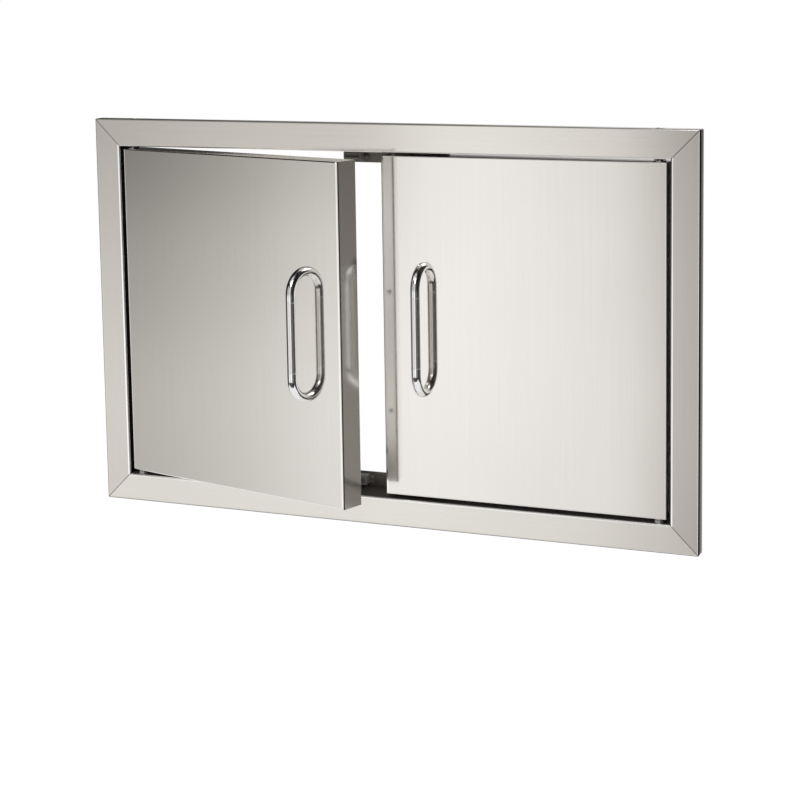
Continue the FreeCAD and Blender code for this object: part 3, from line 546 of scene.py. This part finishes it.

# %% [markdown]
# Rails are brushed sideways and stiles upwards, along the strip that each was folded from.
# The doors are brushed upwards and are a little lighter. Liners and brackets keep a duller finish, and the
# brackets' steel is dark, partly painted shade inside the opening. The handle's tube is satin, and its elbows
# are plated and polished. Pivots, catches and springs are other steels again; the catches' steel is dark, partly
# painted shade too.

# %% Steel finishes
upright, level = (900.0, 900.0, 6.0), (6.0, 900.0, 900.0)
lathe_turned, even = (60.0, 60.0, 1500.0), (300.0, 300.0, 300.0)
upward_grain, sideways_grain = (0, 0, 1), (1, 0, 0)
# Painted shade in the throat: black under the head and along the stiles, a lighter grey on the sill.
throat_shade_black = (0.012, 0.011, 0.010, 1.0)
throat_shade_grey = (0.22, 0.205, 0.19, 1.0)
stile_roll, ajar_roll, closed_roll = 0.00060, 0.00090, 0.00040
sheet_bump, door_bump = 0.00001, 0.000006
left_hinge = (-pivot_place[0], pivot_place[1], ajar, 1.0)
right_hinge = (pivot_place[0], pivot_place[1], 0.0, -1.0)
finishes = {
    "head_steel": steel("head_steel", (0.84, 0.81, 0.765), 0.09, 0.5, sideways_grain, level, 0.03, sheet_bump,
                        throat=throat_shade_black),
    "sill_steel": steel("sill_steel", (0.85, 0.82, 0.775), 0.14, 0.5, sideways_grain, level, 0.03, sheet_bump,
                        throat=throat_shade_grey, fold_highlight=1.0),
    "stile_steel": steel("stile_steel", (0.80, 0.77, 0.725), 0.14, 0.5, upward_grain, upright, 0.03, sheet_bump,
                         throat=throat_shade_black, fold_highlight=1.0, roll=stile_roll),
    "left_door_steel": steel("left_door_steel", (0.89, 0.865, 0.825), 0.10, 0.4, upward_grain, upright, 0.02,
                             door_bump, roll=ajar_roll, hinged=left_hinge),
    "right_door_steel": steel("right_door_steel", (0.89, 0.865, 0.825), 0.10, 0.4, upward_grain, upright, 0.02,
                              door_bump, roll=closed_roll, hinged=right_hinge),
    "liner_steel": steel("liner_steel", (0.90, 0.885, 0.86), 0.42, 0.4, upward_grain, upright),
    # The brackets' dark colour is partly painted shade inside the opening.
    "inner_steel": steel("inner_steel", (0.24, 0.22, 0.20), 0.45, 0.0, sideways_grain, level),
    "handle_satin": steel("handle_satin", (0.90, 0.89, 0.88), 0.20, 0.5, upward_grain, upright),
    "handle_chrome": steel("handle_chrome", (0.86, 0.86, 0.87), 0.03, 0.0, bump=0.0, streak_depth=0.02),
    "pivot_steel": steel("pivot_steel", (0.34, 0.33, 0.32), 0.25, 0.0, upward_grain, lathe_turned),
    # The catches' dark steel is partly painted shade inside the opening.
    "catch_steel": steel("catch_steel", (0.28, 0.27, 0.26), 0.45, 0.0, sideways_grain, level),
    "spring_steel": steel("spring_steel", (0.6, 0.6, 0.61), 0.2, 0.0, upward_grain, upright),
    "fastener_steel": steel("fastener_steel", (0.66, 0.66, 0.67), 0.22, 0.0, upward_grain, even),
}
print("steel finishes:", sorted(finishes))

# %% [markdown]
# Catches and upper bushes are moulded plastic, magnets pressed powder, and the levers end in a dipped sleeve.
# None of these is a metal, so they get a matt shader with a fine pebbled bump instead of a grain.

# %% Dull finishes
def dull(name, colour, gloss, pebble, depth, coat=0.0):
    """A matt, moulded surface: colour, roughness, size of the pebbles per metre and their depth."""
    material, tree, output = new_material(name)
    place = tree.nodes.new("ShaderNodeTexCoord")
    pebbles = add_node(tree, "ShaderNodeTexNoise", Scale=pebble, Detail=4.0)
    tree.links.new(place.outputs["Object"], pebbles.inputs["Vector"])
    shade = tree.nodes.new("ShaderNodeValToRGB")
    shade.color_ramp.elements[0].color = [c * 0.8 for c in colour] + [1.0]
    shade.color_ramp.elements[1].color = [c * 1.25 for c in colour] + [1.0]
    tree.links.new(pebbles.outputs[0], shade.inputs[0])
    skin = add_node(tree, "ShaderNodeBsdfPrincipled", Roughness=gloss, Coat_Weight=coat)
    relief = add_node(tree, "ShaderNodeBump", Strength=0.5, Distance=depth)
    tree.links.new(pebbles.outputs[0], relief.inputs["Height"])
    tree.links.new(relief.outputs[0], skin.inputs["Normal"])
    tree.links.new(shade.outputs[0], skin.inputs["Base Color"])
    tree.links.new(skin.outputs[0], output.inputs[0])
    return material


dull_finishes = {
    "catch_plastic": dull("catch_plastic", (0.28, 0.26, 0.24), 0.65, 900.0, 0.00005),
    "bush_black": dull("bush_black", (0.022, 0.021, 0.020), 0.5, 900.0, 0.00003),
    "magnet": dull("magnet", (0.15, 0.145, 0.14), 0.6, 1500.0, 0.00004),
    "sleeve_rubber": dull("sleeve_rubber", (0.04, 0.04, 0.042), 0.45, 600.0, 0.00004, coat=0.1),
}
finishes.update(dull_finishes)
print("dull finishes:", sorted(dull_finishes))

# %% [markdown]
# The record names a finish slot for each node, so the materials can be handed out from it.
# The frame is the exception: rails and stiles are brushed in different directions, which shows at the mitres,
# and the sill's throat is painted a lighter shade than the head's, because it catches more light. Each door has
# its own finish too, because its free edge is looked for on its own side.

# %% Hand out the finishes
rails = {"frame_top_rail": "head_steel", "frame_bottom_rail": "sill_steel"}
for part in frame["record"]["subparts"]:
    name, slot = part["node"], part["material_slot"]
    if slot == "frame_steel":
        slot = rails.get(name, "stile_steel")
    if slot == "door_steel":
        slot = "left_door_steel" if name.startswith("left_") else "right_door_steel"
    node = frame["nodes"][name]
    node.data.materials.clear()
    node.data.materials.append(finishes[slot])

# %% [markdown]
# The solids show screws and rivets as plain prisms, which is enough to check that they fit.
# Real ones are pressed from wire, with a low dome, a cross or a hole in the middle and a thread on the shank.
# One profile turned round its axis makes each kind, and a formula presses the cross into the dome.
# The same mesh is then set down at every place where the solids have one.

# %% Turned pieces
def ring_walls(first, rings, sides):
    """Faces between rings of points in a row: each joins a point, its neighbour and the two above them."""
    here = np.arange(sides)
    there = (here + 1) % sides
    low = first + sides * np.arange(rings - 1)[:, None]
    return np.stack([low + here, low + there, low + sides + there, low + sides + here], axis=-1).reshape(-1, 4)


def turned(profile, sides):
    """Points and faces of a profile turned round the height axis.

    The profile is a list of radius and height pairs that starts and ends on the axis. A ring's points lie at
    radius times the cosine and sine of evenly spaced angles. The two ends are single points.
    """
    profile = np.array(profile, float)
    angles = np.arange(sides) * 2 * np.pi / sides
    around = np.column_stack([np.cos(angles), np.sin(angles), np.zeros(sides)])
    rings = [around * radius + [0, 0, height] for radius, height in profile[1:-1]]
    points = np.concatenate([[[0, 0, profile[0, 1]]], *rings, [[0, 0, profile[-1, 1]]]])
    here = np.arange(sides)
    there = (here + 1) % sides
    top, last = 1 + (len(rings) - 1) * sides, len(points) - 1
    foot = np.column_stack([0 * here, there + 1, here + 1])
    crown = np.column_stack([top + here, top + there, 0 * here + last])
    return points, foot.tolist() + ring_walls(1, len(rings), sides).tolist() + crown.tolist()


def crossed(points, level, arm, width, depth):
    """Presses a cross into the top: points above level sink by depth where they lie in one of two arms."""
    x, y, z = np.abs(points[:, 0]), np.abs(points[:, 1]), points[:, 2]
    inside = ((x < width) & (y < arm)) | ((y < width) & (x < arm))
    pressed = points.copy()
    pressed[:, 2] -= np.where(inside & (z > level), depth, 0.0)
    return pressed


turn_between = 2.4


def set_down(points, faces, spots, axis):
    """Copies of a turned piece: each has its foot on a spot, its height along the axis and its own turn."""
    axis = np.array(axis, float)
    side = np.cross([0, 0, 1], axis) if abs(axis[2]) < 0.5 else np.array([1.0, 0, 0])
    side = side / np.linalg.norm(side)
    other = np.cross(axis, side)
    all_points, all_faces = [], []
    for number, spot in enumerate(spots):
        angle = turn_between * number
        cosine, sine = math.cos(angle), math.sin(angle)
        x = points[:, 0] * cosine - points[:, 1] * sine
        y = points[:, 0] * sine + points[:, 1] * cosine
        moved = np.outer(x, side) + np.outer(y, other) + np.outer(points[:, 2], axis) + np.array(spot, float)
        all_faces += [tuple(i + number * len(points) for i in face) for face in faces]
        all_points.append(moved)
    return np.concatenate(all_points), all_faces


def new_piece(name, points_mm, faces, body, finish, crease=40.0):
    """A mesh object from points in millimetres that rides on a body. Edges sharper than crease stay sharp."""
    mesh = bpy.data.meshes.new(name)
    mesh.from_pydata((np.asarray(points_mm) / 1000.0).tolist(), [], faces)
    mesh.polygons.foreach_set("use_smooth", np.ones(len(mesh.polygons), bool))
    mesh.set_sharp_from_angle(angle=math.radians(crease))
    mesh.materials.append(finishes[finish])
    piece = bpy.data.objects.new(name, mesh)
    bpy.context.scene.collection.objects.link(piece)
    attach(piece, body)
    print(name, "faces:", len(mesh.polygons))
    return piece


pivot_mm = np.array([1000 * pivot_place[0], 1000 * pivot_place[1], 0.0])


def on_door(side, points):
    """Takes points of the closed right door to their place on either door as it stands in the picture."""
    points = np.array(points, float)
    if side == "right":
        return points
    cosine, sine = math.cos(-ajar), math.sin(-ajar)
    away = (points - pivot_mm) * [-1, 1, 1]
    swung_x = away[:, 0] * cosine - away[:, 1] * sine
    swung_y = away[:, 0] * sine + away[:, 1] * cosine
    return np.column_stack([swung_x, swung_y, away[:, 2]]) + pivot_mm * [-1, 1, 1]


def door_faces(side, faces):
    """Mirroring turns a face inside out, so the left door's faces run the other way round."""
    return faces if side == "right" else [tuple(reversed(face)) for face in faces]


# %% [markdown]
# Liners are held by small domed screws with a cross. The catches have the same kind, a little smaller.
# The first heights are the tip and the thread's crests and grooves, the later ones the head's rim and dome.
# In the solids one screw of each liner stands in the corner of the pin's window, where it would hold nothing.
# Its domed one sits beside the window instead, where the liner lies on the pan's lip.

# %% Screws
tip_radius, thread_root, thread_crest, neck_radius, thread_pitch = 0.8, 1.12, 1.38, 1.2, 0.5
dome_shape = [(0.96, 0.0), (1.0, 0.12), (1.0, 0.28), (0.92, 0.55), (0.78, 0.76), (0.6, 0.9), (0.42, 0.97),
              (0.2, 0.99)]


def screw_profile(head_radius, grip, total):
    """Tip, thread, plain neck and domed head. The head starts at the height grip and ends at total."""
    thread = []
    for step in np.arange(thread_pitch, grip - thread_pitch, thread_pitch):
        thread += [(thread_root, step), (thread_crest, step + thread_pitch / 2)]
    rise = total - grip
    dome = [(head_radius * share, grip + rise * height) for share, height in dome_shape]
    return [(0.0, 0.0), (tip_radius, 0.0)] + thread + [(neck_radius, grip)] + dome + [(0.0, total)]


screw_points, screw_faces = turned(screw_profile(head_radius=2.8, grip=3.3, total=4.7), sides=24)
screw_points = crossed(screw_points, level=4.4, arm=1.75, width=0.42, depth=0.7)
liner_spots = [(x, 17.9, z) for x, z in (
    (21.3, -210.3), (187.55, -210.3), (353.8, -210.3), (21.3, 211.8), (187.55, 211.8), (340.0, 211.8),
    (9.3, -121.92), (9.3, 35.8), (365.8, -121.92), (365.8, 35.8))]
for side in ("left", "right"):
    points, faces = set_down(screw_points, screw_faces, liner_spots, (0, 1, 0))
    screws = new_piece(side + "_liner_screws_domed", on_door(side, points), door_faces(side, faces),
                       side + "_door", "fastener_steel")
    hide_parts(side + "_liner_screws")

small_points, small_faces = turned(screw_profile(head_radius=2.5, grip=4.7, total=6.1), sides=24)
small_points = crossed(small_points, level=5.8, arm=1.55, width=0.38, depth=0.7)
catch_spots = [(x, 39.8, z) for x in (-70.75, -41.25, 41.25, 70.75) for z in (-214.25, 214.25)]
points, faces = set_down(small_points, small_faces, catch_spots, (0, -1, 0))
screws = new_piece("catch_screws_domed", points, faces, "frame", "fastener_steel")
screws.data.materials[0] = finishes["catch_steel"]  # these are dark like the catches, partly painted shade inside the opening
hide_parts("catch_screws")

# %% [markdown]
# Blind rivets hold the brackets and the strikes. Pulling their nail leaves a round dimple in the head.
# The strikes' rivets are sunk, so that the catch meets a flat plate.

# %% Rivets
rivet_shank = [(0, 0), (0.9, 0), (1.5, 0.5), (1.6, 1.0)]
rivet_nail = [(0.8, 4.5), (0.55, 4.4), (0, 4.4)]
rivet_head = [(1.6, 4.1), (2.9, 4.1), (3.0, 4.25), (2.8, 4.6), (2.2, 4.88), (1.4, 5.0), (0.85, 5.0)]
rivet = rivet_shank + rivet_head + rivet_nail
rivet_points, rivet_faces = turned(rivet, sides=24)
rivet_y = 28.5
for name, height, axis in (("lower", -227.6, (0, 0, 1)), ("upper", 227.6, (0, 0, -1))):
    points, faces = set_down(rivet_points, rivet_faces, [(x, rivet_y, height) for x in (-60, 0, 60)], axis)
    rivets = new_piece(name + "_bracket_rivets_domed", points, faces, "frame", "fastener_steel")
    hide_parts("catch_bracket_rivets")

sunk = rivet_shank + [(1.6, 3.4), (2.95, 3.4), (3.0, 3.5), (3.0, 4.8), (2.9, 4.88), (0.9, 4.88)] + rivet_nail
sunk_points, sunk_faces = turned(sunk, sides=24)
strike_spots = [(x, 17.8, z) for x in (42.2, 69.8) for z in (-210.3, 211.8)]
for side in ("left", "right"):
    points, faces = set_down(sunk_points, sunk_faces, strike_spots, (0, 1, 0))
    rivets = new_piece(side + "_strike_rivets_sunk", on_door(side, points), door_faces(side, faces),
                       side + "_door", "fastener_steel")
    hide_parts(side + "_strike_rivets")

# %% [markdown]
# A spring is wound from round wire, with its end turns close together so that it stands square on its seat.
# The path runs round the pin and climbs slowly at both ends. A circle carried along it gives the wire.
# The spring rides on the door.

# %% Pin springs
coil_radius, wire_radius = 4.65, 0.55
spring_foot, spring_top = box_mm("right_pin_spring")
spring_low, spring_high, spring_turns = spring_foot[2], spring_top[2], 7
steps_a_turn, wire_sides = 40, 10


def wire_along(path, radius, sides):
    """A round wire along a path: circles square to it, joined in rings, with a flat end at both ends."""
    ahead = np.gradient(path, axis=0)
    ahead /= np.linalg.norm(ahead, axis=1)[:, None]
    out = path - path.mean(axis=0)
    out[:, 2] = 0
    out -= ahead * np.sum(out * ahead, axis=1)[:, None]
    out /= np.linalg.norm(out, axis=1)[:, None]
    up = np.cross(ahead, out)
    lean = np.arange(sides) * 2 * np.pi / sides
    circle = out[:, None, :] * np.cos(lean)[None, :, None] + up[:, None, :] * np.sin(lean)[None, :, None]
    points = (path[:, None, :] + circle * radius).reshape(-1, 3)
    here = np.arange(sides)
    ends = [here[::-1].tolist(), (here + (len(path) - 1) * sides).tolist()]
    return points, ring_walls(0, len(path), sides).tolist() + ends


turns = np.linspace(0, spring_turns, spring_turns * steps_a_turn + 1)
slow_until, full_from, slow_climb = 0.8, 1.3, 0.24
marks_on_coil = [0, slow_until, full_from, spring_turns - full_from, spring_turns - slow_until, spring_turns]
climb = np.interp(turns, marks_on_coil, [slow_climb, slow_climb, 1, 1, slow_climb, slow_climb])
rise_along = np.concatenate([[0], np.cumsum((climb[1:] + climb[:-1]) / 2)])
rise_along *= (spring_high - spring_low - 2 * wire_radius) / rise_along[-1]
coil_x, coil_y = coil_radius * np.cos(2 * np.pi * turns), coil_radius * np.sin(2 * np.pi * turns)
coil_z = spring_low + wire_radius + rise_along
spring_path = np.column_stack([pivot_mm[0] + coil_x, pivot_mm[1] + coil_y, coil_z])
spring_points, spring_faces = wire_along(spring_path, wire_radius, wire_sides)
for side in ("left", "right"):
    points, faces = on_door(side, spring_points), door_faces(side, spring_faces)
    spring = new_piece(side + "_pin_spring_wound", points, faces, side + "_door", "spring_steel", crease=60.0)
    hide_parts(side + "_pin_spring")
    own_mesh(spring)

# %% [markdown]
# Where the satin tube meets its polished elbows, a rolled bead covers the joint and catches the light.
# Behind each mitre the gusset is held by plug welds: molten steel fills a hole and sets as a low rippled dome.

# %% Handle beads and plug welds
bead = [(0, 0), (5.9, 0), (6.1, 0.06), (6.22, 0.2), (6.26, 0.4), (6.22, 0.6), (6.1, 0.74), (5.9, 0.8),
        (0, 0.8)]
bead_points, bead_faces = turned(bead, sides=48)
tube_low, tube_high = box_mm("right_handle_tube")
handle_x, handle_y = (tube_low[0] + tube_high[0]) / 2, (tube_low[1] + tube_high[1]) / 2
tube_end, half_bead = 44.725, 0.4
bead_spots = [(handle_x, handle_y, z - half_bead) for z in (-tube_end, tube_end)]
for side in ("left", "right"):
    points, faces = set_down(bead_points, bead_faces, bead_spots, (0, 0, 1))
    points, faces = on_door(side, points), door_faces(side, faces)
    new_piece(side + "_handle_beads", points, faces, side + "_door", "handle_chrome")

nugget = [(0, 0), (2.9, 0), (3.0, 0.1), (3.0, 1.45), (3.5, 1.52), (3.4, 1.75), (2.7, 2.0), (2.4, 1.96),
          (1.8, 2.2), (1.5, 2.16), (0.9, 2.32), (0.6, 2.28), (0, 2.36)]
nugget_points, nugget_faces = turned(nugget, sides=24)
weld_foot = -15.24
weld_spots = [(across * x, weld_foot, upwards * z) for x, z in ((365.75, 241.75), (396.75, 210.75))
              for across in (-1, 1) for upwards in (-1, 1)]
points, faces = set_down(nugget_points, nugget_faces, weld_spots, (0, 1, 0))
new_piece("corner_plug_welds", points, faces, "frame", "inner_steel")
